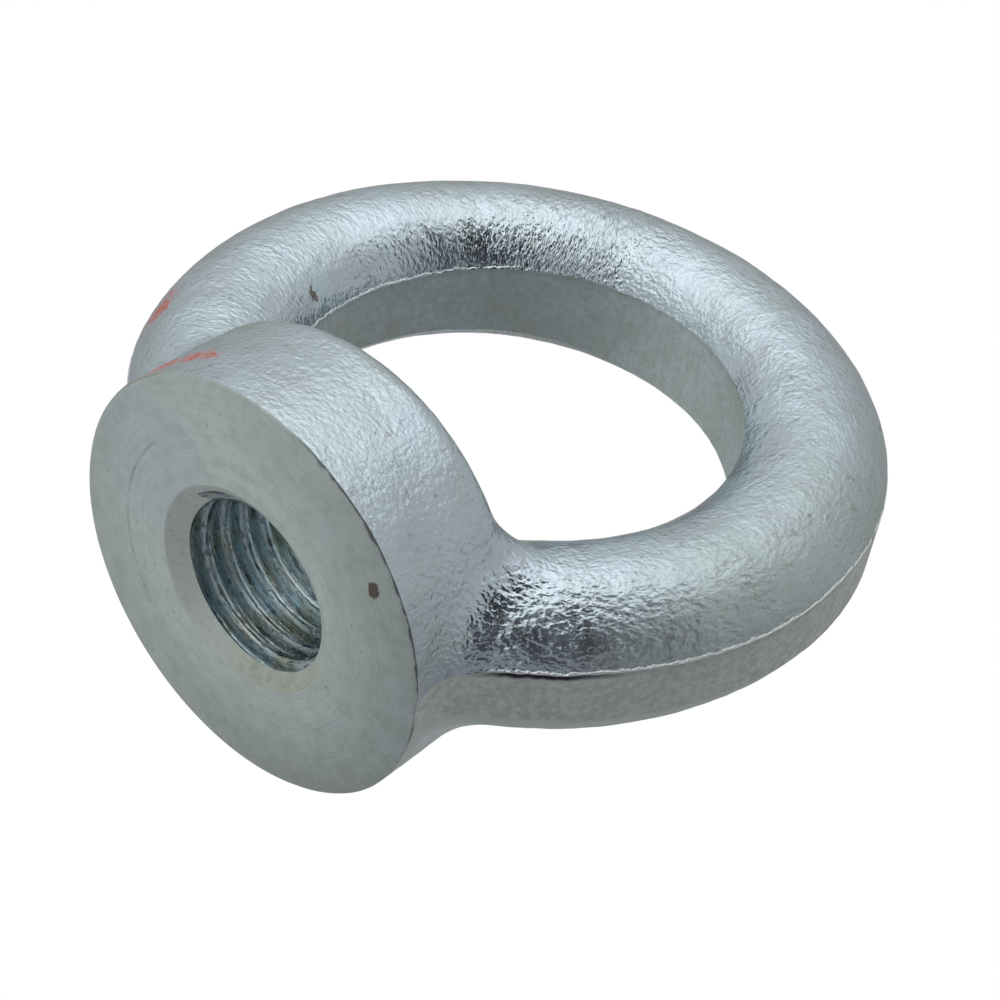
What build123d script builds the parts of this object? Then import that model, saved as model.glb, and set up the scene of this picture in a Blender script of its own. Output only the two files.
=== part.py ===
"""Lifting eye nut: a one-piece steel drop forging with a tapped collar and a closed ring.

Millimetres, +Z up. The thread axis is Z, and the origin is the centre of the machined
seat face. The ring lies in the XZ plane, so the dies part on y = 0 and the eye's axis
runs along Y. The operations come in the order of the real work: forge the ring and the
collar, trim the flash, punch the eye, face the seat, bore and countersink for the thread.
"""

import os

from build123d import *

os.makedirs("parts", exist_ok=True)

# ---- driving dimensions -------------------------------------------------------------

# Ring, as forged: a round section carried round a closed circle.
ring_outer_diameter = 63.0        # across the land that trimming leaves
ring_section_diameter = 14.0
trim_depth = 0.45                 # trimming cuts this far into the round section
punch_depth = 1.5                 # and punching this far, on the side of the eye
eye_dip = 0.75                    # the eye's circle runs this far below the collar's back

# Collar, as forged.
collar_diameter = 35.0
collar_height = 11.8              # from the seat face to the side that faces the eye
collar_back_radius = 2.2
arm_blend_radius = 5.25           # hollow between the collar and the ring's two arms

# Trimming and facing.
collar_trim_depth = 0.1           # trimming shaves this off each side of the collar
trim_sweep_radius = 6.0           # its outline turns from the collar to the ring in this radius
facing_allowance = 2.0            # stock under the collar, taken off to make the seat
seat_edge_break = 0.3

# Tapped hole for an M16 x 2 thread, modelled as the bore that the tap enters.
thread_major_diameter = 16.0
thread_pitch = 2.0
thread_cut_per_pitch = 1.0825     # major less minor diameter, for each unit of pitch
countersink_oversize = 1.3        # wider than the thread's major diameter
countersink_angle = 120.0
exit_chamfer = 0.7                # where the hole breaks out into the eye
exit_chamfer_angle = 90.0

# ---- derived sizes ------------------------------------------------------------------

ring_centreline_diameter = ring_outer_diameter - ring_section_diameter + 2 * trim_depth
eye_diameter = ring_centreline_diameter - ring_section_diameter + 2 * punch_depth
eye_centre_height = collar_height + eye_diameter / 2 - eye_dip
overall_height = eye_centre_height + ring_outer_diameter / 2
eye_axis = Axis((0, 0, eye_centre_height), (0, 1, 0))
collar_radius = collar_diameter / 2
collar_back_flat = collar_radius - collar_back_radius
collar_side_top = collar_height - collar_back_radius
bore_radius = (thread_major_diameter - thread_cut_per_pitch * thread_pitch) / 2
countersink_radius = (thread_major_diameter + countersink_oversize) / 2
seat_plane = Plane(origin=(0, 0, 0), z_dir=(0, 0, -1))
collar_back_plane = Plane(origin=(0, 0, collar_height))

with BuildPart() as eye_nut:
    # Forged ring.
    with BuildSketch(Plane.XY.offset(eye_centre_height)):
        with Locations((ring_centreline_diameter / 2, 0)):
            Circle(ring_section_diameter / 2)
    revolve(axis=eye_axis)

    # Forged collar, with stock below the seat and a rounded edge towards the eye.
    with BuildSketch(Plane.XZ):
        with BuildLine():
            Polyline(
                (0, collar_height),
                (0, -facing_allowance),
                (collar_radius, -facing_allowance),
                (collar_radius, collar_side_top),
            )
            RadiusArc(
                (collar_radius, collar_side_top),
                (collar_back_flat, collar_height),
                -collar_back_radius,
            )
            Line((collar_back_flat, collar_height), (0, collar_height))
        make_face()
    revolve(axis=Axis.Z)

    # The only free-form edges so far are the seams where the arms run into the collar.
    # Each is filled with a hollow blend.
    arm_seams = eye_nut.edges().filter_by(GeomType.BSPLINE)
    fillet(arm_seams, radius=arm_blend_radius)

    # Trim the flash. The tool's outline follows the ring and sweeps round the foot of each
    # arm on to the collar, where the flat land that it leaves grows narrow.
    with BuildSketch(Plane.XZ) as trim_outline:
        with Locations((0, eye_centre_height)):
            Circle(ring_outer_diameter / 2)
        with Locations((0, -facing_allowance)):
            Rectangle(
                collar_diameter - 2 * collar_trim_depth,
                eye_centre_height + facing_allowance,
                align=(Align.CENTER, Align.MIN),
            )
        arm_corners = trim_outline.vertices().filter_by_position(
            Axis.Y, 0, eye_centre_height, inclusive=(False, False)
        )
        fillet(arm_corners, radius=trim_sweep_radius)
    extrude(amount=collar_diameter, both=True, mode=Mode.INTERSECT)

    # Punch the eye: a round hole that stops at the back of the collar.
    with BuildSketch(Plane.XZ):
        with Locations((0, eye_centre_height)):
            Circle(eye_diameter / 2)
        with Locations((0, collar_height)):
            Rectangle(
                eye_diameter,
                overall_height,
                align=(Align.CENTER, Align.MIN),
                mode=Mode.INTERSECT,
            )
    extrude(amount=ring_section_diameter, both=True, mode=Mode.SUBTRACT)

    # Face the seat, and turn a chamfer on its edge.
    split(bisect_by=Plane.XY)
    with BuildSketch(Plane.XZ):
        with BuildLine():
            Polyline(
                (collar_radius - seat_edge_break, 0),
                (collar_radius + seat_edge_break, 0),
                (collar_radius + seat_edge_break, 2 * seat_edge_break),
                close=True,
            )
        make_face()
    revolve(axis=Axis.Z, mode=Mode.SUBTRACT)

    # Bore for the thread, with a countersink at the seat and a chamfer into the eye.
    with Locations(seat_plane):
        CounterSinkHole(
            bore_radius,
            countersink_radius,
            depth=collar_height + ring_section_diameter / 2,
            counter_sink_angle=countersink_angle,
        )
    with Locations(collar_back_plane):
        CounterSinkHole(
            bore_radius,
            bore_radius + exit_chamfer,
            depth=collar_height,
            counter_sink_angle=exit_chamfer_angle,
        )

eye_nut.part.label = "eye_nut"
export_step(eye_nut.part, "parts/eye_nut.step")
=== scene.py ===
import math

import bmesh
import bpy
import numpy as np
from bpy.props import FloatProperty, FloatVectorProperty, PointerProperty
from mathutils import Color, Euler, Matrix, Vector, kdtree, noise


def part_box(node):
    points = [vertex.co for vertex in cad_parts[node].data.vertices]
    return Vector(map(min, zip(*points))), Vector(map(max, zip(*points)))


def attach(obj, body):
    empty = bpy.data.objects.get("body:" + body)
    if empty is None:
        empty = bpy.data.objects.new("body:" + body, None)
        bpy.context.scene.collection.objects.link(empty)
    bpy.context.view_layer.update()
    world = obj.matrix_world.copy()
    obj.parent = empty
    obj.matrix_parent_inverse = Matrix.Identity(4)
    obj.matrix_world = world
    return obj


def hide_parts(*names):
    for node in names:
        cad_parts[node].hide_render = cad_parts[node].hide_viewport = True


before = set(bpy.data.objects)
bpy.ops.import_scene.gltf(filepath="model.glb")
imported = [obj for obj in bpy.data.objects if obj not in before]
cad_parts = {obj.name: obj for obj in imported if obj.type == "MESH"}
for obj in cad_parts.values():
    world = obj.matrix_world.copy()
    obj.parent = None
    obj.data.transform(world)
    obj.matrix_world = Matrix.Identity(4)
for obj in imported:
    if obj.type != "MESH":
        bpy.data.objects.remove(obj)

bl_info = {
    "name": "Lifting eye nut",
    "version": (1, 0, 0),
    "blender": (4, 5, 0),
    "location": "3D View > Sidebar > Eye nut",
    "description": "A drop-forged, zinc-plated lifting eye nut with a tapped collar",
    "category": "Mesh",
}

MM = 0.001
# Directions in the studio, as seen from the object.
OVERHEAD = (-0.50, -0.76, 0.42)
WINDOW = (-0.10, -0.995, 0.006)
DARK_CARD = (0.76, -0.52, -0.38)
CARD_END = (0.42, -0.90, -0.11)
BACK_WINDOW = (0.10, 0.93, 0.35)
LOW_FILL = (-0.56, 0.63, -0.54)
BEHIND = (-0.441, 0.639, 0.630)
NODE = "eye_nut"
CAD_LOW, CAD_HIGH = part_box(NODE)
RING_RADIUS = (CAD_HIGH[0] - CAD_LOW[0]) / 2     # outside, over the trimmed land
COLLAR_RADIUS = (CAD_HIGH[1] - CAD_LOW[1]) / 2
EYE_HEIGHT = CAD_HIGH[2] - RING_RADIUS           # centre of the eye above the seat


# ---- sizes, finishes and stage that a user can change ----------------

def length(name, description, millimetres):
    """A length shown in the scene's unit, given here in millimetres."""
    return FloatProperty(
        name=name, description=description, default=millimetres * MM, unit="LENGTH", precision=5
    )


def colour(name, description, default):
    """A colour swatch."""
    return FloatVectorProperty(
        name=name, description=description, default=default, subtype="COLOR", size=3, min=0, max=1
    )


class EyeNutSizes(bpy.types.PropertyGroup):
    section_radius: length("Ring section radius", "Radius of the ring's round section", 7.0)
    trim_depth: length("Trim depth", "How far trimming cuts into the round section", 0.45)
    eye_radius: length("Eye radius", "Radius of the punched eye", 19.45)
    eye_shift: length("Eye shift", "How far the punch ran off towards one arm", 0.15)
    eye_short: length("Eye short side", "How far the -X side falls short where the punch went in", 0.8)
    eye_taper: length("Eye taper", "How much narrower the eye is where the punch went in", 0.3)
    collar_height: length("Collar height", "From the seat to the collar's back", 11.8)
    collar_back_radius: length("Collar back radius", "Rounding of the collar's back edge", 2.2)
    arm_blend: length("Arm blend", "Hollow between the collar and the ring's arms", 5.25)
    collar_trim: length("Collar trim", "What trimming shaves off each side of the collar", 0.1)
    trim_sweep: length("Trim sweep", "Radius in which the outline turns from collar to ring", 6.0)
    facing_stock: length("Facing stock", "Forged stock below the seat", 3.0)
    seat_edge_break: length("Seat edge break", "Chamfer round the seat", 0.25)
    thread_major_radius: length("Thread major radius", "To the root of the thread", 8.0)
    thread_minor_radius: length("Thread minor radius", "To the crest of the thread", 6.9175)
    thread_pitch: length("Thread pitch", "From crest to crest", 2.0)
    countersink_radius: length("Countersink radius", "At the seat face", 8.65)
    exit_chamfer: length("Exit chamfer", "Where the hole breaks out into the eye", 0.7)
    voxel: length("Voxel", "Grid of the forging's mesh", 0.35)


class EyeNutRelief(bpy.types.PropertyGroup):
    swell: length("Swell", "Slow unevenness of the forging", 0.10)
    dimple: length("Dimples", "Shallow dimples a few millimetres apart", 0.05)
    peel: length("Peel", "Pebbly skin left by scale and blasting", 0.030)
    wall_drag: length("Wall drag", "Streaks that trimming and punching leave", 0.02)


class EyeNutColours(bpy.types.PropertyGroup):
    zinc: colour("Zinc", "Zinc plating, cool blue-grey", (0.62, 0.72, 0.80))
    zinc_shade: colour("Zinc shade", "Greener, duller clouds in the plating", (0.49, 0.56, 0.54))
    zinc_tint: colour("Zinc tint", "Faint violet sheen of the passivation", (0.53, 0.57, 0.67))
    seat: colour("Seat", "Plating on the turned seat and rolled-over edges", (0.71, 0.78, 0.74))
    sheared: colour("Sheared", "Pale, warm plating on the trimmed land", (0.89, 0.93, 0.88))
    # Near white: bright torn zinc on the lips, with a painted highlight.
    torn: colour("Torn lip", "Bright zinc on the torn lips", (0.97, 0.99, 1.0))
    slate: colour("Slate", "Dark plating deep in the thread", (0.42, 0.56, 0.60))
    # Dark residue in specks and creases, and the painted shadow line under the lips.
    grime: colour("Grime", "Dark residue in creases", (0.055, 0.05, 0.065))
    paint: colour("Paint", "Traces of red marking paint", (0.58, 0.11, 0.08))
    rust: colour("Rust", "Specks of rust", (0.13, 0.085, 0.055))
    stain: colour("Stain", "Oily olive stain", (0.42, 0.40, 0.27))


class EyeNutStage(bpy.types.PropertyGroup):
    camera_location: FloatVectorProperty(
        name="Camera location", description="Below and to the right of the seat",
        default=(0.08060, -0.10840, -0.08409), subtype="TRANSLATION", unit="LENGTH",
    )
    camera_turn: FloatVectorProperty(
        name="Camera rotation", description="XYZ Euler",
        default=(math.radians(146.13), math.radians(-40.66), math.radians(-9.54)),
        subtype="EULER",
    )
    lens: FloatProperty(
        name="Lens", description="Focal length on a 36 mm sensor", default=76.31, unit="CAMERA"
    )
    floor_colour: colour("Floor", "Pale studio floor", (0.86, 0.86, 0.85))
    key_power: FloatProperty(
        name="Key power", description="Soft light in front", default=0.1, unit="POWER"
    )


# ---- the forging's form ----------------------------------------------

def ring_distance(points, sizes):
    """Signed distance to the ring, a round section carried round the eye, and its direction."""
    line_radius = RING_RADIUS - sizes.section_radius + sizes.trim_depth
    rise = points[:, 2] - EYE_HEIGHT
    from_eye = np.maximum(np.hypot(points[:, 0], rise), 1e-9)
    across = from_eye - line_radius
    reach = np.maximum(np.hypot(across, points[:, 1]), 1e-9)
    outwards = np.stack([
        across / reach * points[:, 0] / from_eye, points[:, 1] / reach, across / reach * rise / from_eye,
    ], axis=1)
    return reach - sizes.section_radius, outwards


def collar_distance(points, sizes):
    """Signed distance to the collar, an upright round block with rounded edges, and its direction."""
    rounding = sizes.collar_back_radius
    middle = (sizes.collar_height - sizes.facing_stock) / 2
    half = (sizes.collar_height + sizes.facing_stock) / 2
    from_axis = np.maximum(np.hypot(points[:, 0], points[:, 1]), 1e-9)
    sideways = from_axis - (COLLAR_RADIUS - rounding)
    upwards = np.abs(points[:, 2] - middle) - (half - rounding)
    side, top = np.maximum(sideways, 0), np.maximum(upwards, 0)
    outside = np.hypot(side, top)
    within = outside == 0
    side = np.where(within, sideways > upwards, side / np.maximum(outside, 1e-9))
    top = np.where(within, sideways <= upwards, top / np.maximum(outside, 1e-9))
    outwards = np.stack([
        side * points[:, 0] / from_axis, side * points[:, 1] / from_axis,
        top * np.sign(points[:, 2] - middle),
    ], axis=1)
    return outside + np.minimum(np.maximum(sideways, upwards), 0) - rounding, outwards


def forging_distance(points, sizes):
    """Signed distance to ring and collar, with a ball rolled along the seam between them."""
    ring, ring_outwards = ring_distance(points, sizes)
    collar, collar_outwards = collar_distance(points, sizes)
    ball = sizes.arm_blend
    lean = (ring_outwards * collar_outwards).sum(axis=1)
    square = np.maximum(1 - lean ** 2, 1e-4)
    to_ring, to_collar = ball - ring, ball - collar
    along_ring = (to_ring - to_collar * lean) / square
    along_collar = (to_collar - to_ring * lean) / square
    to_ball = (to_ring ** 2 + to_collar ** 2 - 2 * to_ring * to_collar * lean) / square
    touches_both = (along_ring > 0) & (along_collar > 0)
    return np.where(touches_both, ball - np.sqrt(to_ball), np.minimum(ring, collar))


def forging_normals(points, sizes):
    """Unit gradient of the signed distance, by central differences."""
    step = 0.01 * MM
    gradient = np.empty_like(points)
    for axis in range(3):
        offset = np.zeros(3)
        offset[axis] = step
        ahead = forging_distance(points + offset, sizes)
        behind = forging_distance(points - offset, sizes)
        gradient[:, axis] = ahead - behind
    return gradient / np.linalg.norm(gradient, axis=1, keepdims=True)


def settle(points, sizes, rounds=3):
    """Moves points onto the forging's surface."""
    for _ in range(rounds):
        gap = forging_distance(points, sizes)[:, None]
        points = points - gap * forging_normals(points, sizes)
    return points


def noise_field(points, wavelength, octaves=1):
    """Fractal noise in about -1..1 at each point."""
    scaled = points / wavelength
    return np.array([noise.fractal(Vector(p), 1.0, 2.0, octaves) for p in scaled])


# ---- mesh helpers ----------------------------------------------------

def mesh_points(mesh):
    flat = np.empty(len(mesh.vertices) * 3)
    mesh.vertices.foreach_get("co", flat)
    return flat.reshape(-1, 3)


def set_mesh_points(mesh, points):
    mesh.vertices.foreach_set("co", points.ravel())
    mesh.update()


def add_object(name, mesh):
    piece = bpy.data.objects.new(name, mesh)
    bpy.context.scene.collection.objects.link(piece)
    return piece


def mesh_from(name, points, faces, material=None):
    mesh = bpy.data.meshes.new(name)
    mesh.from_pydata([tuple(p) for p in points], [], faces)
    mesh.update()
    if material:
        mesh.materials.append(material)
    return mesh


def bake_modifiers(piece):
    """Turns the piece's modifiers into mesh."""
    graph = bpy.context.evaluated_depsgraph_get()
    baked = bpy.data.meshes.new_from_object(piece.evaluated_get(graph))
    old = piece.data
    piece.modifiers.clear()
    piece.data = baked
    bpy.data.meshes.remove(old)


def remesh(piece, voxel):
    modifier = piece.modifiers.new("Remesh", "REMESH")
    modifier.mode = "VOXEL"
    modifier.voxel_size = voxel
    bake_modifiers(piece)


def cut(piece, tool, operation="DIFFERENCE"):
    """Cuts the piece with a closed tool, which is used up."""
    modifier = piece.modifiers.new("Cut", "BOOLEAN")
    modifier.operation = operation
    modifier.solver = "MANIFOLD"
    modifier.material_mode = "TRANSFER"
    modifier.object = tool
    bake_modifiers(piece)
    mesh = tool.data
    bpy.data.objects.remove(tool)
    bpy.data.meshes.remove(mesh)


def lathe(name, outline, material=None):
    """A closed solid of revolution about Z from (radius, height) points that start and end on it."""
    steps = 192
    rings = outline[1:-1]
    points = [(0, 0, outline[0][1])]
    for step in range(steps):
        turn = math.tau * step / steps
        for radius, height in rings:
            points.append((radius * math.cos(turn), radius * math.sin(turn), height))
    points.append((0, 0, outline[-1][1]))
    count, last, faces = len(rings), len(points) - 1, []
    for step in range(steps):
        near, far = 1 + step * count, 1 + (step + 1) % steps * count
        faces.append((0, far, near))
        for k in range(count - 1):
            faces.append((near + k, far + k, far + k + 1, near + k + 1))
        faces.append((near + count - 1, far + count - 1, last))
    return add_object(name, mesh_from(name, points, faces, material))


def prism(name, outline, rows, material, wall):
    """A closed prism along Y over an outline of (x, z) points, which wall(points) then moves."""
    count, points = len(outline), []
    for y in rows:
        points += [(x, y, z) for x, z in outline]
    faces = []
    for row in range(len(rows) - 1):
        for k in range(count):
            a, b = row * count + k, row * count + (k + 1) % count
            faces.append((a, b, b + count, a + count))
    faces.append(tuple(range(count))[::-1])
    faces.append(tuple((len(rows) - 1) * count + k for k in range(count)))
    return closed(name, wall(np.array(points)), faces, material)


def closed(name, points, faces, material=None):
    """A closed body whose faces are all turned outwards."""
    mesh = mesh_from(name, points, faces, material)
    work = bmesh.new()
    work.from_mesh(mesh)
    bmesh.ops.recalc_face_normals(work, faces=work.faces)
    work.to_mesh(mesh)
    work.free()
    return add_object(name, mesh)


def spread(low, high, step):
    """Evenly spaced values from low to high, about one step apart."""
    return list(np.linspace(low, high, max(2, round((high - low) / step) + 1)))


def arc(x, z, radius, start, end, step):
    """Points along an arc, about one step apart."""
    return [
        (x + radius * math.cos(turn), z + radius * math.sin(turn))
        for turn in spread(start, end, step / radius)
    ]


# ---- making the piece: forge, trim, punch, face, tap -----------------

def forge(sizes, relief, colours):
    """The untrimmed forging, with its uneven, pebbly skin."""
    line_radius = RING_RADIUS - sizes.section_radius + sizes.trim_depth
    ring_steps, section_steps = 160, 40
    points, faces = [], []
    for i in range(ring_steps):
        turn = math.tau * i / ring_steps
        near, far = i * section_steps, (i + 1) % ring_steps * section_steps
        for j in range(section_steps):
            lean = math.tau * j / section_steps
            radius = line_radius + sizes.section_radius * math.cos(lean)
            points.append((
                radius * math.cos(turn),
                sizes.section_radius * math.sin(lean),
                EYE_HEIGHT + radius * math.sin(turn),
            ))
            after = (j + 1) % section_steps
            faces.append((near + j, far + j, far + after, near + after))
    body = closed("eye_nut_body", points, faces)
    low, high = -sizes.facing_stock, sizes.collar_height
    collar = lathe(
        "collar_stock", [(0, low), (COLLAR_RADIUS, low), (COLLAR_RADIUS, high), (0, high)]
    )
    cut(body, collar, "UNION")
    for voxel in (2 * sizes.voxel, sizes.voxel):
        remesh(body, voxel)
        set_mesh_points(body.data, settle(mesh_points(body.data), sizes))
    body.data.materials.clear()
    body.data.materials.append(forged_skin(colours))
    set_mesh_points(body.data, roughen(mesh_points(body.data), sizes, relief))
    return body


def roughen(points, sizes, relief):
    """Uneven skin: slow swell, shallow dimples and a fine peel."""
    outwards = forging_normals(points, sizes)
    height = relief.swell * noise_field(points, 15 * MM)
    height += relief.dimple * noise_field(points + 1, 4.5 * MM, 2)
    height += relief.peel * noise_field(points + 2, 1.2 * MM, 2)
    return points + outwards * height[:, None]


def trim_outline(sizes, step):
    """The trimming tool's outline: round the ring, then swept on to the collar."""
    half_width = COLLAR_RADIUS - sizes.collar_trim
    blend = sizes.trim_sweep
    # The corner arc touches the ring's circle and the straight side.
    corner_x = half_width + blend
    corner_z = EYE_HEIGHT - math.sqrt((RING_RADIUS + blend) ** 2 - corner_x ** 2)
    touch = math.atan2(corner_z - EYE_HEIGHT, corner_x)
    outline = arc(0, EYE_HEIGHT, RING_RADIUS, touch, math.pi - touch, step)
    bend = arc(corner_x, corner_z, blend, touch + math.pi, math.pi, step)[1:]
    bottom = -2 * sizes.facing_stock
    left = [(-x, z) for x, z in bend]
    right = [(x, z) for x, z in reversed(bend)]
    return outline + left + [(-half_width, bottom), (half_width, bottom)] + right


def drag_wall(points, depth):
    """Streaks along Y, as left by a tool that sheared the metal."""
    out = points.copy()
    radial = points[:, [0, 2]] - np.array([0, EYE_HEIGHT])
    size = np.linalg.norm(radial, axis=1, keepdims=True)
    streaks = points * np.array([1, 0.08, 1])
    height = depth * noise_field(streaks + 3, 0.9 * MM, 2) + 2 * depth * noise_field(streaks, 6 * MM)
    out[:, [0, 2]] += radial / size * height[:, None]
    return out


def trim(body, sizes, relief, colours):
    """Shears the flash off round the outside."""
    fine = 4 * MM        # the land lies within this of the parting plane
    rows = [-2 * COLLAR_RADIUS] + spread(-fine, fine, sizes.voxel) + [2 * COLLAR_RADIUS]
    tool = prism(
        "trimming_tool", trim_outline(sizes, sizes.voxel), rows, sheared_wall(colours),
        lambda points: drag_wall(points, relief.wall_drag),
    )
    cut(body, tool, "INTERSECT")


def punch(body, sizes, relief, colours):
    """Punches the eye, down to the back of the collar."""
    drop = EYE_HEIGHT - sizes.collar_height
    edge = -math.asin(drop / sizes.eye_radius)
    outline = arc(0, EYE_HEIGHT, sizes.eye_radius, edge, math.pi - edge, sizes.voxel)
    fine = sizes.section_radius
    through = 9 * MM     # along Y, over which the hole widens
    rows = [-COLLAR_RADIUS] + spread(-fine, fine, sizes.voxel) + [COLLAR_RADIUS]

    def wall(points):
        points = drag_wall(points, relief.wall_drag)
        entry = np.clip(0.5 - points[:, 1] / through, 0, 1)
        slimmer = 1 - sizes.eye_taper / sizes.eye_radius * entry
        above = points[:, 2] > sizes.collar_height + 1e-6
        short = np.clip(-points[:, 0] / sizes.eye_radius, 0, 1) * entry * sizes.eye_short
        points[:, 0] = points[:, 0] * slimmer + short + sizes.eye_shift
        points[:, 2] = np.where(above, EYE_HEIGHT + (points[:, 2] - EYE_HEIGHT) * slimmer, points[:, 2])
        points[:, 2] -= np.where(above, sizes.eye_shift, 0)
        return points

    cut(body, prism("punch", outline, rows, sheared_wall(colours), wall))


def face_seat(body, sizes, colours):
    """Faces the seat and breaks its edge."""
    wide, deep = 1.5 * COLLAR_RADIUS, -3 * sizes.facing_stock
    brim = COLLAR_RADIUS + 3 * sizes.seat_edge_break
    edge = COLLAR_RADIUS - sizes.seat_edge_break
    outline = [
        (0, 0), (edge, 0), (brim, brim - edge), (wide, brim - edge), (wide, deep), (0, deep),
    ]
    tool = lathe("facing_tool", outline[::-1], material=turned_seat(colours))
    cut(body, tool)


def thread_radius(height, sizes):
    """Radius of the tapped hole at a height counted in pitches from the middle of a crest."""
    crest, flank, rounding = 1 / 8, 5 / 16, 0.25
    off_crest = abs(height - round(height))
    rise = min(max((off_crest - crest) / flank, 0), 1)
    rounded = rise * rise * (3 - 2 * rise)
    rise += rounding * (rounded - rise)
    return sizes.thread_minor_radius + rise * (sizes.thread_major_radius - sizes.thread_minor_radius)


def tap(body, sizes, colours):
    """Bores and taps the hole, with a countersink at the seat and a chamfer into the eye."""
    steps, rows_per_pitch = 144, 12
    spare = 2            # turns beyond each end of the hole
    turns = math.ceil(sizes.collar_height / sizes.thread_pitch) + 2 * spare
    rows = turns * rows_per_pitch
    start = -spare * sizes.thread_pitch
    points = []
    for j in range(rows + 1):
        for i in range(steps):
            turn = math.tau * i / steps
            radius = thread_radius(j / rows_per_pitch, sizes)
            height = start + sizes.thread_pitch * (j / rows_per_pitch + i / steps)
            points.append((radius * math.cos(turn), radius * math.sin(turn), height))
    faces = []
    for j in range(rows):
        for i in range(steps - 1):
            a = j * steps + i
            faces.append((a, a + 1, a + 1 + steps, a + steps))
        if j + 1 + rows_per_pitch <= rows:
            a, b = j * steps + steps - 1, (j + rows_per_pitch) * steps
            faces.append((a, b, b + steps, a + steps))
    points += [(0, 0, start - sizes.thread_pitch), (0, 0, start + (turns + 1) * sizes.thread_pitch)]
    bottom, top = len(points) - 2, len(points) - 1
    lower = list(range(steps)) + [j * steps for j in range(rows_per_pitch, -1, -1)]
    upper_seam = [j * steps + steps - 1 for j in range(rows - rows_per_pitch, rows + 1)]
    upper = [rows * steps + i for i in range(steps)] + upper_seam[:-1][::-1]
    for loop, centre in ((lower, bottom), (upper, top)):
        for a, b in zip(loop, loop[1:] + loop[:1]):
            if a != b:
                faces.append((a, b, centre))
    cut(body, closed("tap", points, faces, tapped_thread(colours)))

    slope = math.tan(math.radians(60))
    depth = sizes.countersink_radius / slope
    below = sizes.facing_stock
    cut(body, lathe(
        "countersink",
        [(0, -below), (sizes.countersink_radius + below * slope, -below), (0, depth)],
        material=countersunk_mouth(colours),
    ))
    mouth = sizes.thread_minor_radius + sizes.exit_chamfer
    top = sizes.collar_height
    cut(body, lathe(
        "exit_chamfer",
        [(0, top - mouth), (mouth + below, top + below), (0, top + below)],
        material=tapped_thread(colours),
    ))


def soften_edges(body):
    """Smooth shading, with sharp edges only where one finish meets another."""
    mesh = body.data
    work = bmesh.new()
    work.from_mesh(mesh)
    for face in work.faces:
        face.smooth = True
    for edge in work.edges:
        if len(edge.link_faces) == 2:
            one, other = edge.link_faces
            edge.smooth = one.material_index == other.material_index
    work.to_mesh(mesh)
    work.free()


def measure_edge_gap(body, reach=3 * MM):
    """Writes each point's distance to the nearest edge between finishes, up to reach, in mm."""
    mesh = body.data
    points = mesh_points(mesh)
    ends = np.empty(len(mesh.edges) * 2, dtype=int)
    mesh.edges.foreach_get("vertices", ends)
    sharp = np.ones(len(mesh.edges), dtype=bool)
    mesh.attributes["sharp_edge"].data.foreach_get("value", sharp)
    pairs = ends.reshape(-1, 2)[sharp]
    border = np.concatenate([points[pairs[:, 0]], points[pairs[:, 1]], points[pairs].mean(axis=1)])
    tree = kdtree.KDTree(len(border))
    for index, point in enumerate(border):
        tree.insert(point, index)
    tree.balance()
    gap = np.full(len(points), reach / MM)
    for index, point in enumerate(points):
        _, _, far = tree.find(point)
        gap[index] = min(far, reach) / MM
    gap[pairs.ravel()] = 0.0
    mesh.attributes.new("edge_gap", "FLOAT", "POINT").data.foreach_set("value", gap)


# ---- materials -------------------------------------------------------

def opaque(rgb):
    return (*rgb, 1.0)


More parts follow.
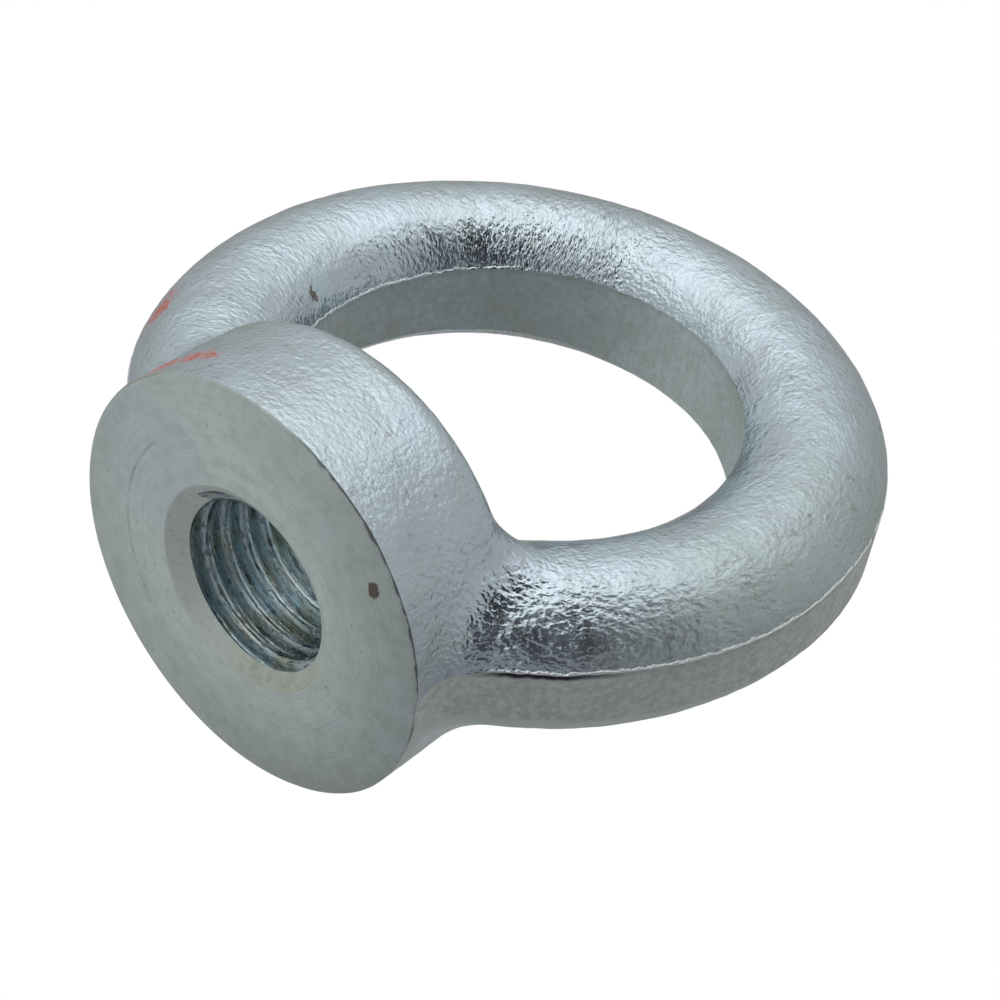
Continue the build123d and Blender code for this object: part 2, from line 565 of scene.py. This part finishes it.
class Nodes:
    """Adds and wires shader nodes in one tree."""

    def __init__(self, tree):
        self.tree = tree

    def add(self, kind, links=(), **settings):
        node = self.tree.nodes.new(kind)
        for name, value in settings.items():
            setattr(node, name, value)
        self.feed(node, dict(links))
        return node

    def feed(self, node, values):
        for name, value in values.items():
            if isinstance(value, bpy.types.NodeSocket):
                self.tree.links.new(value, node.inputs[name])
            else:
                node.inputs[name].default_value = value

    def maths(self, operation, a, b=0.0, c=0.0):
        return self.add("ShaderNodeMath", {0: a, 1: b, 2: c}, operation=operation).outputs[0]

    def times(self, product, *factors):
        for factor in factors:
            product = self.maths("MULTIPLY", product, factor)
        return product

    def total(self, *parts):
        """The sum of (value, factor) parts."""
        total = 0.0
        for value, factor in parts:
            total = self.maths("MULTIPLY_ADD", value, factor, total)
        return total

    def vector(self, operation, a, b=(0, 0, 0)):
        node = self.add("ShaderNodeVectorMath", {0: a, 1: b}, operation=operation)
        gives_number = operation in ("LENGTH", "DISTANCE", "DOT_PRODUCT")
        return node.outputs["Value" if gives_number else "Vector"]

    def split(self, place):
        """The X, Y and Z of a place."""
        return self.add("ShaderNodeSeparateXYZ", {0: place}).outputs

    def join(self, x, y, z=0.0):
        return self.add("ShaderNodeCombineXYZ", {0: x, 1: y, 2: z}).outputs[0]

    def distance(self, place, centre):
        return self.vector("DISTANCE", place, centre)

    def round_hole(self, place):
        """The angle round Z, the distance from Z and the height of a place."""
        x, y, z = self.split(place)
        return self.maths("ARCTAN2", y, x), self.vector("LENGTH", self.join(x, y)), z

    def ramp(self, value, low, high, to_low=0.0, to_high=1.0):
        """Eases from to_low, where the value is low, to to_high, where it is high."""
        links = {
            "Value": value, "From Min": low, "From Max": high, "To Min": to_low, "To Max": to_high,
        }
        return self.add("ShaderNodeMapRange", links, interpolation_type="SMOOTHSTEP").outputs["Result"]

    def mix(self, share, one, other):
        """Mixes two values, or two colours."""
        plain = (tuple, Color)
        is_colour = any(
            isinstance(part, plain) or getattr(part, "type", "") == "RGBA" for part in (one, other)
        )
        one, other = (opaque(part) if isinstance(part, plain) else part for part in (one, other))
        if is_colour:
            return self.add("ShaderNodeMix", {0: share, 6: one, 7: other}, data_type="RGBA").outputs[2]
        return self.add("ShaderNodeMix", {0: share, 2: one, 3: other}, data_type="FLOAT").outputs[0]

    def coat(self, colour, *layers):
        """Lays (mask, colour) layers over a colour, one after another."""
        for mask, over in layers:
            colour = self.mix(mask, colour, over)
        return colour

    def noise(self, position, wavelength, detail=2.0, roughness=0.5, distortion=0.0, shift=None):
        """Noise in 0..1. A shift sets it apart from other noise of the same wavelength."""
        if shift:
            position = self.vector("ADD", position, shift)
        links = {
            "Vector": position, "Scale": 1 / wavelength, "Detail": detail,
            "Roughness": roughness, "Distortion": distortion,
        }
        return self.add("ShaderNodeTexNoise", links).outputs["Fac"]

    def group(self, tree, links):
        node = self.add("ShaderNodeGroup")
        node.node_tree = tree
        self.feed(node, links)
        return node.outputs


def shared(build):
    """Builds a node group once, under the function's own name."""
    def find_or_build():
        return bpy.data.node_groups.get(build.__name__) or build(build.__name__)
    return find_or_build


def new_group(name, inputs, outputs):
    """An empty shader node group. Sockets are (name, kind) or (name, kind, default)."""
    tree = bpy.data.node_groups.new(name, "ShaderNodeTree")
    for direction, sockets in (("INPUT", inputs), ("OUTPUT", outputs)):
        for label, kind, *default in sockets:
            socket = tree.interface.new_socket(
                name=label, in_out=direction, socket_type="NodeSocket" + kind
            )
            if default:
                socket.default_value = default[0]
    nodes = Nodes(tree)
    start = tree.nodes.new("NodeGroupInput")
    end = tree.nodes.new("NodeGroupOutput")
    return nodes, start.outputs, end


@shared
def forging_position(name):
    """Object position in millimetres, plain and unrolled along the ring."""
    nodes, _, end = new_group(
        name, [], [("Position", "Vector"), ("Along ring", "Vector"), ("Ring share", "Float")]
    )
    where = nodes.add("ShaderNodeTexCoord").outputs["Object"]
    scaled = nodes.add("ShaderNodeVectorMath", {0: where, "Scale": 1 / MM}, operation="SCALE")
    place = scaled.outputs["Vector"]
    split = nodes.split(place)
    rise = nodes.maths("SUBTRACT", split[2], EYE_HEIGHT / MM)
    turn = nodes.maths("ARCTAN2", split[0], rise)
    radius = nodes.vector("LENGTH", nodes.join(split[0], rise))
    middle = RING_RADIUS / MM - 7.5      # about the ring's middle line
    unrolled = nodes.join(nodes.times(turn, middle), radius, split[1])
    beside = nodes.ramp(nodes.maths("ABSOLUTE", split[0]), COLLAR_RADIUS / MM - 2, COLLAR_RADIUS / MM)
    nodes.feed(end, {
        "Position": place,
        "Along ring": unrolled,
        "Ring share": nodes.maths("MAXIMUM", nodes.ramp(split[2], 12.0, 18.0), beside),
    })
    return nodes.tree


@shared
def blasted_peel(name):
    """Blasted skin, in millimetres: dimples between crests, with scattered pits."""
    nodes, start, end = new_group(
        name, [("Vector", "Vector"), ("Pebble", "Float", 0.1)], [("Height", "Float"), ("Pits", "Float")]
    )
    place = start["Vector"]
    wander = nodes.add("ShaderNodeTexNoise", {"Vector": place, "Scale": 1.6, "Detail": 1.0})
    bent = nodes.vector("ADD", place, wander.outputs["Color"])
    dimples = nodes.add(
        "ShaderNodeTexVoronoi", {"Vector": bent, "Scale": 1 / 0.55, "Smoothness": 0.5},
        feature="SMOOTH_F1",
    ).outputs["Distance"]
    small = nodes.noise(place, 0.36, 1.0, shift=(7, 3, 5))
    pits = nodes.ramp(nodes.noise(place, 0.45, 1.0, shift=(2, 9, 4)), 0.74, 0.82)
    lumps = nodes.maths("MULTIPLY_ADD", dimples, 0.9, small)
    height = nodes.times(lumps, start["Pebble"])
    nodes.feed(end, {"Height": nodes.maths("MULTIPLY_ADD", pits, -0.02, height), "Pits": pits})
    return nodes.tree


@shared
def zinc_tone(name):
    """Plating tone: duller and tinted clouds, with fine mottling."""
    nodes, start, end = new_group(
        name,
        [
            ("Vector", "Vector"), ("Zinc", "Color"), ("Shade", "Color"), ("Tint", "Color"),
            ("Dull", "Float", 0.3),
        ],
        [("Color", "Color")],
    )
    cloud = nodes.noise(start["Vector"], 7.0, 3.0, 0.55, 0.4)
    tint = nodes.noise(start["Vector"], 4.0, shift=(31, 7, 3))
    fine = nodes.noise(start["Vector"], 0.6)
    nodes.feed(end, {"Color": nodes.coat(
        start["Zinc"],
        (nodes.times(nodes.ramp(cloud, 0.35, 0.7), start["Dull"]), start["Shade"]),
        (nodes.ramp(tint, 0.45, 0.7, 0.0, 0.35), start["Tint"]),
        (nodes.ramp(fine, 0.5, 0.75, 0.0, 0.35), start["Shade"]),
    )})
    return nodes.tree


@shared
def ragged_patch(name):
    """A ragged spot round a centre, in millimetres."""
    nodes, start, end = new_group(
        name,
        [
            ("Vector", "Vector"), ("Centre", "Vector"), ("Reach", "Vector", (1, 1, 1)),
            ("Ragged", "Float", 0.5), ("Grain", "Float", 0.6),
        ],
        [("Mask", "Float")],
    )
    offset = nodes.vector("SUBTRACT", start["Vector"], start["Centre"])
    far = nodes.vector("LENGTH", nodes.vector("DIVIDE", offset, start["Reach"]))
    grain = nodes.add("ShaderNodeTexNoise", {
        "Vector": start["Vector"], "Scale": nodes.maths("DIVIDE", 1.0, start["Grain"]),
        "Detail": 3.0, "Roughness": 0.6,
    }).outputs["Fac"]
    swing = nodes.times(nodes.maths("SUBTRACT", grain, 0.5), start["Ragged"])
    edge = nodes.maths("MULTIPLY_ADD", swing, 4.0, far)
    nodes.feed(end, {"Mask": nodes.ramp(edge, 1.0, 0.7)})
    return nodes.tree


@shared
def sheared_edge(name):
    """The sheared faces' edges: torn, on the -Y side with a raised lip painted as a highlight and a
    painted shadow line under it; rolled over on the +Y side.
    """
    nodes, start, end = new_group(
        name,
        [("Vector", "Vector"), ("Lip width", "Float", 0.2), ("Line width", "Float", 0.3)],
        [("Lip", "Float"), ("Line", "Float"), ("Rolled", "Float")],
    )
    gap = nodes.add("ShaderNodeAttribute", attribute_name="edge_gap").outputs["Fac"]
    split = nodes.split(start["Vector"])
    wobble = nodes.noise(start["Vector"], 0.6, 3.0)
    ragged = nodes.maths("MULTIPLY_ADD", nodes.maths("SUBTRACT", wobble, 0.5), 0.5, gap)
    whole = nodes.ramp(nodes.noise(start["Vector"], 2.5, shift=(5, 9, 2)), 0.30, 0.40)
    this_side = nodes.times(nodes.ramp(split[1], 0.5, -0.5), nodes.ramp(split[2], 1.5, 3.0))
    # Inside the eye the lip and its painted highlight are faint on the -X side, and fainter still
    # elsewhere.
    rise = nodes.maths("SUBTRACT", split[2], EYE_HEIGHT / MM)
    from_axis = nodes.vector("LENGTH", nodes.join(split[0], rise))
    inside = nodes.ramp(split[0], -8.0, -15.0, 0.08, 0.5)
    outside = nodes.ramp(from_axis, 23.5, 25.5)
    strength = nodes.mix(outside, inside, 1.0)
    clear_of_collar = nodes.ramp(nodes.maths("ABSOLUTE", split[0]), 18.0, 20.5)
    beyond = nodes.maths("MAXIMUM", clear_of_collar, nodes.ramp(split[2], 14.0, 20.0))
    whole = nodes.times(whole, strength, beyond)
    lip = nodes.ramp(nodes.maths("DIVIDE", ragged, start["Lip width"]), 1.0, 0.3)
    line = nodes.ramp(nodes.maths("DIVIDE", ragged, start["Line width"]), 1.0, 0.4)
    # The painted shadow line is darkest near the foot of the +X arm.
    foot = nodes.ramp(nodes.distance(start["Vector"], (20.5, -2.5, 6.0)), 11.0, 4.0, 0.10, 1.0)
    foot = nodes.times(foot, beyond)
    that_side = nodes.times(nodes.ramp(split[1], 0.5, 1.5), outside)
    nodes.feed(end, {
        "Lip": nodes.times(lip, whole, this_side),
        "Line": nodes.times(line, foot, this_side),
        "Rolled": nodes.times(nodes.ramp(ragged, 2.6, 0.8), that_side),
    })
    return nodes.tree


@shared
def turning_marks(name):
    """Fine circular tool marks round Z."""
    nodes, start, end = new_group(
        name, [("Vector", "Vector"), ("Feed", "Float", 0.25)], [("Height", "Float")]
    )
    turn, radius, height = nodes.round_hole(start["Vector"])
    ring = nodes.join(nodes.maths("DIVIDE", radius, start["Feed"]), turn, height)
    marks = nodes.add("ShaderNodeTexNoise", {"Vector": ring, "Scale": 1.0, "Detail": 3.0})
    nodes.feed(end, {"Height": marks.outputs["Fac"]})
    return nodes.tree


def finish(build):
    """Makes a material once, under the function's own name, from the nodes that it wires."""
    def find_or_build(colours):
        material = bpy.data.materials.get(build.__name__)
        if material is None:
            material = bpy.data.materials.new(build.__name__)
            material.use_nodes = True
            material.node_tree.nodes.clear()
            build(Nodes(material.node_tree), colours)
        return material
    return find_or_build


def finish_metal(nodes, colour, roughness, height, metallic=1.0):
    """The shader itself. Height is in millimetres."""
    bump = nodes.add("ShaderNodeBump", {"Height": height, "Distance": MM, "Strength": 1.0})
    shader = nodes.add("ShaderNodeBsdfPrincipled", {
        "Base Color": colour, "Metallic": metallic, "Roughness": roughness,
        "Specular Tint": (0.75, 0.72, 0.69, 1), "Normal": bump.outputs["Normal"],
    })
    nodes.add("ShaderNodeOutputMaterial", {"Surface": shader.outputs["BSDF"]})


def zinc_colour(nodes, position, colours, dull):
    return nodes.group(zinc_tone(), {
        "Vector": position, "Zinc": opaque(colours.zinc), "Shade": opaque(colours.zinc_shade),
        "Tint": opaque(colours.zinc_tint), "Dull": dull,
    })["Color"]


def patches(nodes, position, spots, ragged, grain):
    """Share of the surface under any of the spots, each (centre, reach) in millimetres."""
    covered = None
    for centre, reach in spots:
        mask = nodes.group(ragged_patch(), {
            "Vector": position, "Centre": centre, "Reach": reach, "Ragged": ragged, "Grain": grain,
        })["Mask"]
        covered = mask if covered is None else nodes.maths("MAXIMUM", covered, mask)
    return covered


@finish
def forged_skin(nodes, colours):
    """Blasted forging under zinc: lumpy and glinting, with dark pits and red paint."""
    place = nodes.group(forging_position(), {})
    position = place["Position"]
    split = nodes.split(position)
    # Pebbles are drawn out along one arm, across the other, and lie level on the collar.
    along = nodes.vector("MULTIPLY", place["Along ring"], (0.8, 1.0, 1.0))
    across = nodes.vector("MULTIPLY", place["Along ring"], (1.1, 0.7, 0.8))
    level = nodes.vector("MULTIPLY", position, (0.9, 0.9, 1.1))
    clump = nodes.noise(position, 3.0)
    coarse = nodes.maths(
        "MAXIMUM",
        nodes.ramp(nodes.distance(position, (20.5, -6.0, 8.0)), 11.0, 5.0, 0.0, 0.05),
        nodes.ramp(nodes.distance(position, (-8.0, -5.0, 48.0)), 12.0, 4.0, 0.0, 0.07),
    )
    pebble = nodes.maths("ADD", nodes.ramp(clump, 0.35, 0.65, 0.045, 0.08), coarse)
    far_arm = nodes.ramp(split[0], -4.0, -12.0)
    stretched = nodes.add("ShaderNodeMix", {0: far_arm, 4: along, 5: across}, data_type="VECTOR")
    ring_peel = nodes.group(blasted_peel(), {"Vector": stretched.outputs[1], "Pebble": pebble})
    collar_peel = nodes.group(blasted_peel(), {"Vector": level, "Pebble": 0.055})
    on_ring = place["Ring share"]
    height = nodes.mix(on_ring, collar_peel["Height"], ring_peel["Height"])
    pits = nodes.mix(on_ring, collar_peel["Pits"], ring_peel["Pits"])
    edge = nodes.group(sheared_edge(), {"Vector": position, "Lip width": 0.30, "Line width": 0.3})
    height = nodes.mix(edge["Lip"], height, 0.26)
    height = nodes.times(height, nodes.ramp(edge["Rolled"], 0.0, 1.0, 1.0, 0.3))

    # Darker in the pits, more so in some clumps.
    grime = nodes.times(pits, nodes.ramp(clump, 0.4, 0.6, 0.1, 0.7))
    paint_on_collar = patches(nodes, position, (
        ((-12.0, -13.0, 2.2), (2.6, 2.6, 1.5)), ((-9.2, -15.0, 3.2), (2.6, 1.6, 1.1)),
    ), 0.55, 0.5)
    paint_on_arm = patches(nodes, position, (
        ((-25.6, -4.6, 14.6), (1.2, 1.4, 2.0)), ((-26.3, -4.4, 17.3), (0.8, 1.0, 1.6)),
        ((-28.0, -4.6, 24.0), (0.5, 0.8, 2.2)),
    ), 0.7, 0.5)
    worn = nodes.ramp(nodes.noise(position, 0.45), 0.35, 0.65, 0.95, 0.5)
    paint = nodes.times(nodes.maths("MAXIMUM", paint_on_collar, paint_on_arm), worn)
    # Darker towards +X, over the outer right side of the ring.
    plus_x_side = nodes.ramp(split[0], 22.0, 29.0, 0.0, 0.55)
    flecks = nodes.ramp(nodes.noise(position, 0.40, 3.0, 0.6), 0.58, 0.68)
    spot = patches(nodes, position, (((-19.1, -4.9, 26.3), (0.8, 0.8, 0.4)),), 0.7, 0.4)
    brown = nodes.ramp(nodes.noise(position, 1.1, 3.0, 0.65, shift=(3, 8, 1)), 0.60, 0.74)
    colour = nodes.coat(
        zinc_colour(nodes, position, colours, 0.45),
        (grime, colours.grime),
        (paint, colours.paint),
        (plus_x_side, colours.zinc_shade),
        (nodes.times(flecks, plus_x_side), colours.stain),
        (nodes.times(spot, 0.75), colours.rust),
        (nodes.times(brown, 0.35), colours.rust),
        # Painted shadow: a dark line under the lips on the -Y side.
        (nodes.times(edge["Line"], 0.7), colours.grime),
        # Painted highlight: the lips are near white, partly bright torn zinc.
        (edge["Lip"], colours.torn),
        (nodes.times(edge["Rolled"], 0.8), colours.seat),
    )

    satin = nodes.ramp(split[0], 14.0, 27.0, 0.0, 0.12)
    gloss = nodes.ramp(clump, 0.3, 0.7, 0.22, 0.34)
    roughness = nodes.maths("ADD", nodes.maths("SUBTRACT", gloss, coarse), satin)
    roughness = nodes.mix(nodes.maths("MAXIMUM", paint, spot), roughness, 0.6)
    roughness = nodes.mix(edge["Rolled"], roughness, 0.55)
    bare = nodes.maths("SUBTRACT", 1.0, nodes.times(paint, 0.9))
    finish_metal(nodes, colour, roughness, height, bare)


@finish
def sheared_wall(nodes, colours):
    """Trimmed land and punched eye: smoother, duller, faintly streaked along Y."""
    place = nodes.group(forging_position(), {})
    position = place["Position"]
    radius = nodes.split(place["Along ring"])[1]
    streaks = nodes.noise(nodes.vector("MULTIPLY", position, (1, 0.12, 1)), 0.55, 2.0)
    grain = nodes.noise(position, 0.28)
    flecks = nodes.ramp(nodes.noise(position, 0.5, 1.0), 0.74, 0.80)
    edge = nodes.group(sheared_edge(), {"Vector": position, "Lip width": 0.12, "Line width": 0.6})
    mottled = nodes.ramp(nodes.noise(position, 0.6, 5.0, 0.7), 0.36, 0.64, 0.0, 0.55)
    cloud = nodes.noise(position, 2.2, 3.0, shift=(8, 2, 6))
    colour = nodes.coat(
        zinc_colour(nodes, position, colours, 0.9),
        (0.4, colours.seat),
        (nodes.ramp(radius, 22.0, 27.0, 0.0, 0.75), colours.sheared),
        (mottled, colours.zinc_shade),
        (nodes.ramp(cloud, 0.4, 0.65, 0.0, 0.12), colours.stain),
        # Painted shadow: a dark line under the lips on the -Y side.
        (edge["Line"], colours.grime),
    )
    height = nodes.total((streaks, 0.012), (grain, 0.045), (flecks, 0.04), (edge["Line"], -0.05))
    roughness = nodes.ramp(streaks, 0.3, 0.7, 0.56, 0.64)
    finish_metal(nodes, colour, roughness, height)


@finish
def turned_seat(nodes, colours):
    """Faced seat: satin, with fine circular tool marks, specks, and a worn rim."""
    position = nodes.group(forging_position(), {})["Position"]
    turn, radius, _ = nodes.round_hole(position)
    turn = nodes.maths("DEGREES", turn)
    marks = nodes.group(turning_marks(), {"Vector": position, "Feed": 0.25})["Height"]
    grain = nodes.noise(position, 0.28)
    specks = nodes.ramp(nodes.noise(position, 0.55, 3.0, 0.6), 0.67, 0.74)
    blue = nodes.ramp(nodes.distance(position, (-10.5, -6.0, 0.0)), 9.0, 3.0, 0.0, 0.4)
    mottled = nodes.ramp(nodes.noise(position, 1.6, 5.0, 0.7), 0.4, 0.68, 0.0, 0.45)
    rust = patches(nodes, position, (((12.4, -8.7, 0.0), (0.60, 0.85, 0.8)),), 0.25, 0.4)

    wobble = nodes.noise(position, 1.2, 3.0)
    reach = nodes.maths("MULTIPLY_ADD", nodes.maths("SUBTRACT", wobble, 0.5), 0.4, radius)
    rim = nodes.ramp(reach, COLLAR_RADIUS / MM - 0.17, COLLAR_RADIUS / MM - 0.07, 0.0, 0.70)
    dark_arc = nodes.times(nodes.ramp(turn, -84, -66), nodes.ramp(turn, -6, -14))
    brown_arc = nodes.times(nodes.ramp(turn, -14, -8), nodes.ramp(turn, 14, 2))
    olive_arc = nodes.maths("MAXIMUM", nodes.ramp(turn, -118, -128), nodes.ramp(turn, 150, 165))

    off_arc = nodes.maths("ABSOLUTE", nodes.maths("SUBTRACT", radius, 12.8))
    swept = nodes.maths("GREATER_THAN", nodes.maths("ABSOLUTE", turn), 140)
    scratch = nodes.times(nodes.ramp(off_arc, 0.16, 0.06), swept)
    faint = nodes.ramp(nodes.noise(position, 2.5), 0.35, 0.6, 0.03, 0.22)
    colour = nodes.coat(
        zinc_colour(nodes, position, colours, 0.8),
        (0.7, colours.seat),
        (nodes.ramp(marks, 0.42, 0.62, 0.0, 0.15), colours.zinc_shade),
        (blue, colours.zinc_tint),
        (mottled, colours.zinc_shade),
        (nodes.times(specks, 0.6), colours.grime),
        (nodes.times(rust, 0.8), colours.rust),
        (nodes.times(rim, dark_arc), colours.grime),
        (nodes.times(rim, brown_arc), colours.rust),
        (nodes.times(rim, olive_arc, 0.7), colours.stain),
        (nodes.times(scratch, faint), colours.grime),
    )
    even = nodes.ramp(nodes.noise(position, 5.0), 0.4, 0.65, 0.002, 0.008)
    height = nodes.total((marks, even), (grain, 0.022), (specks, -0.02), (scratch, -0.02))
    roughness = nodes.mix(rust, nodes.ramp(marks, 0.3, 0.7, 0.52, 0.58), 0.7)
    finish_metal(nodes, colour, roughness, height)


@finish
def tapped_thread(nodes, colours):
    """Cut thread: slate-dark and shinier, with torn streaks and chips along its grooves."""
    position = nodes.group(forging_position(), {})["Position"]
    turn, radius, height = nodes.round_hole(position)
    # Unrolled along the groove, so that tears run with the cut.
    unrolled = nodes.join(nodes.times(turn, 2.2), radius, height)
    tears = nodes.noise(unrolled, 0.30, 3.0, 0.6)
    debris = nodes.noise(unrolled, 0.55, 3.0, 0.65, shift=(3, 7, 1))
    chips = nodes.ramp(debris, 0.57, 0.65)
    olive = nodes.ramp(nodes.noise(position, 3.5), 0.45, 0.65, 0.0, 0.5)
    colour = nodes.coat(
        zinc_colour(nodes, position, colours, 0.6),
        (0.5, colours.slate),
        (olive, colours.stain),
        (nodes.ramp(debris, 0.44, 0.36, 0.0, 0.65), colours.grime),
    )
    roughness = nodes.ramp(debris, 0.4, 0.6, 0.24, 0.38)
    finish_metal(nodes, colour, roughness, nodes.total((tears, 0.04), (chips, 0.06)))


@finish
def countersunk_mouth(nodes, colours):
    """Countersink: the seat's tone, painted lighter towards -X, with deeper rings and an oily stain."""
    position = nodes.group(forging_position(), {})["Position"]
    marks = nodes.group(turning_marks(), {"Vector": position, "Feed": 0.18})["Height"]
    grain = nodes.noise(position, 0.4)
    stain = nodes.ramp(nodes.distance(position, (4.6, 7.0, 0.3)), 8.0, 2.5, 0.0, 0.45)
    mottled = nodes.ramp(nodes.noise(position, 0.9, 3.0), 0.35, 0.65, 0.5, 1.0)
    colour = nodes.coat(
        zinc_colour(nodes, position, colours, 0.6),
        (0.9, colours.seat),
        # Painted highlight: paler towards -X, where the countersink catches the light.
        (nodes.ramp(nodes.split(position)[0], 3.0, -6.0, 0.0, 0.35), colours.sheared),
        (nodes.times(stain, mottled), colours.stain),
        (nodes.ramp(nodes.noise(position, 0.7, 4.0, 0.7), 0.50, 0.70, 0.0, 0.14), colours.rust),
    )
    height = nodes.total((marks, 0.03), (grain, 0.02))
    finish_metal(nodes, colour, nodes.ramp(marks, 0.3, 0.7, 0.54, 0.62), height)


# ---- stage -----------------------------------------------------------

def make_camera(stage):
    data = bpy.data.cameras.new("camera")
    data.lens = stage.lens
    data.sensor_width = 36
    data.clip_start = 0.01
    data.clip_end = 10
    camera = bpy.data.objects.new("camera", data)
    camera.location = stage.camera_location
    camera.rotation_euler = Euler(stage.camera_turn)
    bpy.context.scene.collection.objects.link(camera)
    bpy.context.scene.camera = camera


def make_world():
    """Soft studio light: a glow overhead, windows, a low fill, and dark cards in front."""
    world = bpy.data.worlds.new("studio")
    bpy.context.scene.world = world
    world.use_nodes = True
    world.node_tree.nodes.clear()
    nodes = Nodes(world.node_tree)
    where = nodes.add("ShaderNodeTexCoord").outputs["Generated"]

    def towards(direction, edge, full, at_edge=0.0, at_full=1.0):
        """Eases from at_edge to at_full, between two cosines of the angle to a direction."""
        cosine = nodes.vector("DOT_PRODUCT", where, Vector(direction).normalized())
        return nodes.ramp(cosine, edge, full, at_edge, at_full)

    light = towards(OVERHEAD, -0.7, 0.1, 0.28, 0.50)
    for glow in (
        towards(OVERHEAD, 0.3, 1.0, at_full=0.13),
        towards(WINDOW, 0.50, 0.97, at_full=0.57),
        towards(BACK_WINDOW, 0.90, 0.99, at_full=0.22),
        towards(LOW_FILL, 0.88, 0.985, at_full=0.38),
    ):
        light = nodes.maths("ADD", light, glow)
    dark = towards(DARK_CARD, 0.86, 0.955, 1.0, 0.10)
    darkest = towards(CARD_END, 0.925, 0.96, 1.0, 0.02)
    light = nodes.times(light, dark, darkest)
    cool = nodes.mix(nodes.ramp(light, 0.1, 0.4), (0.85, 0.85, 1.0), (0.98, 1.0, 0.99))
    soft = nodes.add("ShaderNodeBackground", {"Color": cool, "Strength": light})
    white = nodes.add("ShaderNodeBackground", {"Color": (1, 1, 1, 1), "Strength": 1.0})
    # The white background also shows in the metal, where it mirrors what lies behind it.
    ray = nodes.add("ShaderNodeLightPath").outputs
    other_ray = nodes.maths("MAXIMUM", ray["Is Glossy Ray"], ray["Is Transmission Ray"])
    mirrored = nodes.times(other_ray, towards(BEHIND, 0.985, 0.997))
    seen = nodes.maths("MAXIMUM", ray["Is Camera Ray"], mirrored)
    mix = nodes.add("ShaderNodeMixShader", {"Fac": seen, 1: soft.outputs[0], 2: white.outputs[0]})
    nodes.add("ShaderNodeOutputWorld", {"Surface": mix.outputs[0]})


@finish
def studio_floor(nodes, colour):
    """Pale floor that fades to white further out and is clear from below."""
    pale = nodes.add("ShaderNodeBsdfDiffuse", {"Color": opaque(colour)}).outputs[0]
    glow = nodes.add("ShaderNodeEmission", {"Color": (1, 1, 1, 1), "Strength": 1.0}).outputs[0]
    where = nodes.add("ShaderNodeTexCoord").outputs["Object"]
    fade = nodes.ramp(nodes.vector("LENGTH", where), 0.05, 0.6, 0.45, 1.0)
    top = nodes.add("ShaderNodeMixShader", {"Fac": fade, 1: pale, 2: glow}).outputs[0]
    clear = nodes.add("ShaderNodeBsdfTransparent").outputs[0]
    underside = nodes.add("ShaderNodeNewGeometry").outputs["Backfacing"]
    mix = nodes.add("ShaderNodeMixShader", {"Fac": underside, 1: top, 2: clear})
    nodes.add("ShaderNodeOutputMaterial", {"Surface": mix.outputs["Shader"]})


def make_floor(stage):
    half, below = 1.5, -0.1 * MM
    corners = [(-half, -half, below), (half, -half, below), (half, half, below), (-half, half, below)]
    material = studio_floor(stage.floor_colour)
    floor = add_object("floor", mesh_from("floor", corners, [(0, 1, 2, 3)], material))
    # The metal mirrors the world alone, and the floor neither lights nor shades it.
    for ray in ("visible_diffuse", "visible_glossy", "visible_transmission", "visible_shadow"):
        setattr(floor, ray, False)


def add_softbox(name, direction, distance, size, power):
    """A square area light that faces the middle of the object."""
    target = Vector((0, 0, EYE_HEIGHT))
    data = bpy.data.lights.new(name, "AREA")
    data.shape = "SQUARE"
    data.size = size
    data.energy = power
    lamp = bpy.data.objects.new(name, data)
    back = Vector(direction).normalized()
    lamp.location = target + back * distance
    lamp.rotation_euler = (-back).to_track_quat("-Z", "Y").to_euler()
    bpy.context.scene.collection.objects.link(lamp)


# ---- add-on ----------------------------------------------------------

class EYENUT_OT_body(bpy.types.Operator):
    """Forge, trim, punch, face and tap the eye nut"""
    bl_idname = "eyenut.body"
    bl_label = "Eye nut body"

    def execute(self, context):
        sizes, relief = context.scene.eyenut_sizes, context.scene.eyenut_relief
        colours = context.scene.eyenut_colours
        body = forge(sizes, relief, colours)
        trim(body, sizes, relief, colours)
        punch(body, sizes, relief, colours)
        face_seat(body, sizes, colours)
        tap(body, sizes, colours)
        soften_edges(body)
        measure_edge_gap(body)
        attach(body, "root")
        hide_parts(NODE)
        return {"FINISHED"}


class EYENUT_OT_stage(bpy.types.Operator):
    """Set up the camera, the pale floor and the soft light"""
    bl_idname = "eyenut.stage"
    bl_label = "Studio stage"

    def execute(self, context):
        stage = context.scene.eyenut_stage
        make_camera(stage)
        make_world()
        make_floor(stage)
        add_softbox("window_light", WINDOW, distance=0.6, size=0.5, power=stage.key_power)
        context.scene.view_settings.view_transform = "Standard"
        return {"FINISHED"}


class EYENUT_PT_panel(bpy.types.Panel):
    """Lists the steps that make the eye nut"""
    bl_idname = "EYENUT_PT_panel"
    bl_label = "Lifting eye nut"
    bl_space_type = "VIEW_3D"
    bl_region_type = "UI"
    bl_category = "Eye nut"

    def draw(self, context):
        layout = self.layout
        for group in SETTINGS:
            settings = getattr(context.scene, group)
            column = layout.column(align=True)
            for name in settings.__annotations__:
                column.prop(settings, name)
        layout.operator(EYENUT_OT_body.bl_idname)
        layout.operator(EYENUT_OT_stage.bl_idname)


SETTINGS = {
    "eyenut_sizes": EyeNutSizes,
    "eyenut_relief": EyeNutRelief,
    "eyenut_colours": EyeNutColours,
    "eyenut_stage": EyeNutStage,
}
CLASSES = (*SETTINGS.values(), EYENUT_OT_body, EYENUT_OT_stage, EYENUT_PT_panel)


def register():
    for kind in CLASSES:
        bpy.utils.register_class(kind)
    for name, kind in SETTINGS.items():
        setattr(bpy.types.Scene, name, PointerProperty(type=kind))


def unregister():
    for name in SETTINGS:
        delattr(bpy.types.Scene, name)
    for kind in reversed(CLASSES):
        bpy.utils.unregister_class(kind)


def main():
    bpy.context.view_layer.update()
    register()
    bpy.ops.eyenut.body()
    bpy.ops.eyenut.stage()


if __name__ == "__main__":
    main()
